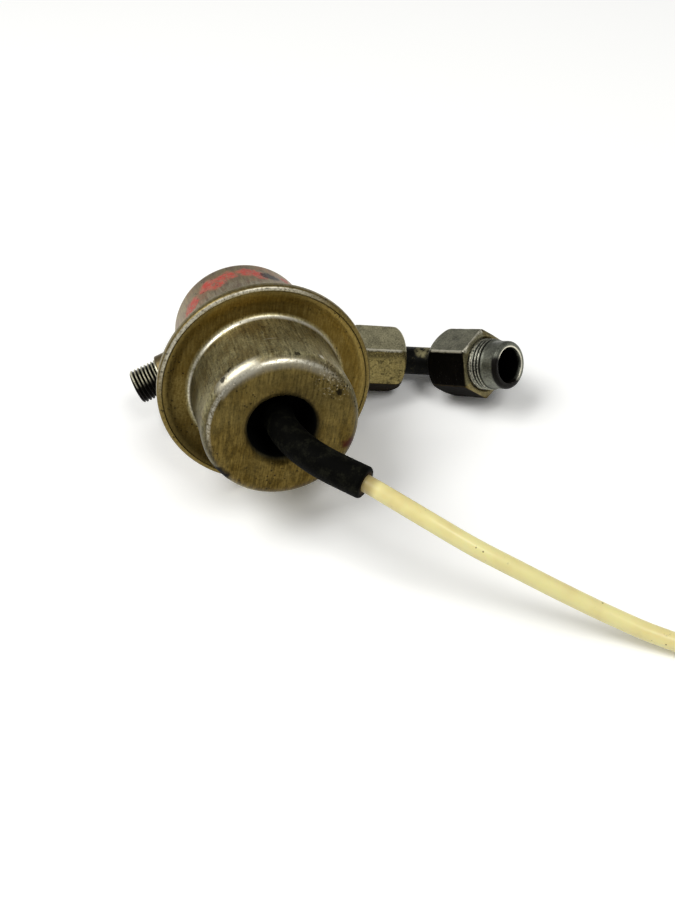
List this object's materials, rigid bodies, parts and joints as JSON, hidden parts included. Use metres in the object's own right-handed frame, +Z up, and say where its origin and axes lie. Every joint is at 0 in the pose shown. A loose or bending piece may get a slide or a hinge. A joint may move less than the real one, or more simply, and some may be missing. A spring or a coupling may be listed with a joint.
{
  "type": "fuel pressure regulator",
  "caption": "Round sheet-steel fuel pressure regulator with a rolled rim, a sprung diaphragm valve, threaded fuel stubs, a bent union pipe and a nylon vacuum line.",
  "frame": {"origin": "on the floor under the middle of the regulator's box, the vacuum line left out", "axes": "+X along the longest extent, from the return stub to the coupling; +Y to the closed end of the rear shell; +Z up"},
  "size_m": [0.1719, 0.163, 0.0548],
  "materials": {
    "zinc_yellow": "worn yellow-passivated zinc, pitted and streaked",
    "zinc_worn": "worn yellow-passivated zinc, pitted",
    "zinc_dark": "darkened zinc with bright worn edges",
    "painted_shell": "dull grey-brown steel with patches of salmon red paint",
    "bare_steel": "worn plated steel",
    "black_steel": "blackened steel with a little brown",
    "spring_steel": "clean steel",
    "black_rubber": "matte black rubber",
    "nylon": "aged cream nylon, slightly translucent"
  },
  "bodies": {
    "housing": {"spring_housing": "zinc_yellow", "fuel_housing": "painted_shell", "return_stub": "bare_steel", "supply_stub": "bare_steel", "inner_nut": "zinc_worn", "inner_cone": "black_steel", "link_pipe": "black_steel", "outer_cone": "black_steel", "outer_nut": "zinc_dark", "coupling": "bare_steel", "vacuum_nipple": "bare_steel", "rubber_sleeve": "black_rubber", "vacuum_line": "nylon", "line_connector": "black_rubber", "pressure_spring": "spring_steel", "diaphragm": "black_rubber", "seat_tube": "bare_steel", "return_block": "bare_steel"},
    "valve": {"spring_seat": "zinc_yellow", "support_washer": "zinc_yellow", "valve_carrier": "bare_steel", "valve_ball": "spring_steel", "valve_plate": "spring_steel", "plate_ring": "spring_steel"}
  },
  "joints": [
    {"name": "valve_lift", "type": "slide", "parent": "housing", "child": "valve", "axis": [0, -0.9728, 0.2318], "range_m": [0, 0.001], "stiffness_N_per_m": 9000, "springref_m": -0.003, "deforming": ["diaphragm", "pressure_spring"]}
  ]
}
